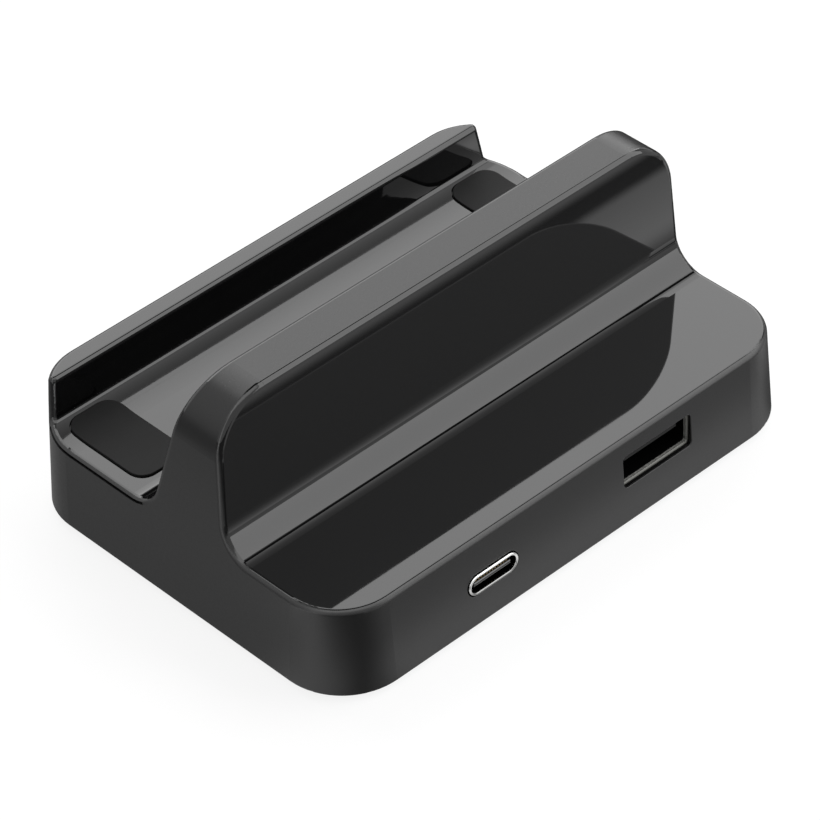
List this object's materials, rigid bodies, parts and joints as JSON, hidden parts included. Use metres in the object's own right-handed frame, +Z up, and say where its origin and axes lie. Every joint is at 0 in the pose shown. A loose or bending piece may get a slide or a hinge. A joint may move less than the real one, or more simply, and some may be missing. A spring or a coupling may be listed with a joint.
{
  "type": "handheld console dock",
  "caption": "Low black desktop dock with a front lip, a shallow tray and a leaning rib that hold a handheld console upright, and power and data ports in the rear face.",
  "frame": {"origin": "middle of the surface that the four feet stand on", "axes": "+Z up, +X along the length, -Y towards the front lip, +Y towards the rear ports"},
  "size_m": [0.0864, 0.0634, 0.0371],
  "materials": {
    "housing_black": "gloss",
    "cover_black": "fine matte",
    "pad_rubber": "satin",
    "foot_rubber": "matte",
    "screw_steel": "plated",
    "board_green": "satin",
    "port_steel": "polished",
    "port_black": "satin",
    "contact_gold": "plated",
    "chip_black": "matte",
    "coil_grey": "matte",
    "crystal_steel": "satin",
    "capacitor_tan": "satin"
  },
  "bodies": {
    "root": {"top_housing": "housing_black", "bottom_cover": "cover_black", "tray_pad_left": "pad_rubber", "tray_pad_right": "pad_rubber", "foot_front_left": "foot_rubber", "foot_front_right": "foot_rubber", "foot_rear_left": "foot_rubber", "foot_rear_right": "foot_rubber", "cover_screws": "screw_steel", "main_board": "board_green", "board_screws": "screw_steel", "usb_c_shell": "port_steel", "usb_c_tongue": "port_black", "usb_c_contacts": "contact_gold", "usb_a_shell": "port_steel", "usb_a_tongue": "port_black", "usb_a_contacts": "contact_gold", "hub_chip": "chip_black", "power_chip": "chip_black", "power_coil": "coil_grey", "clock_crystal": "crystal_steel", "large_capacitors": "capacitor_tan", "small_capacitors": "capacitor_tan", "small_resistors": "chip_black"}
  },
  "joints": []
}
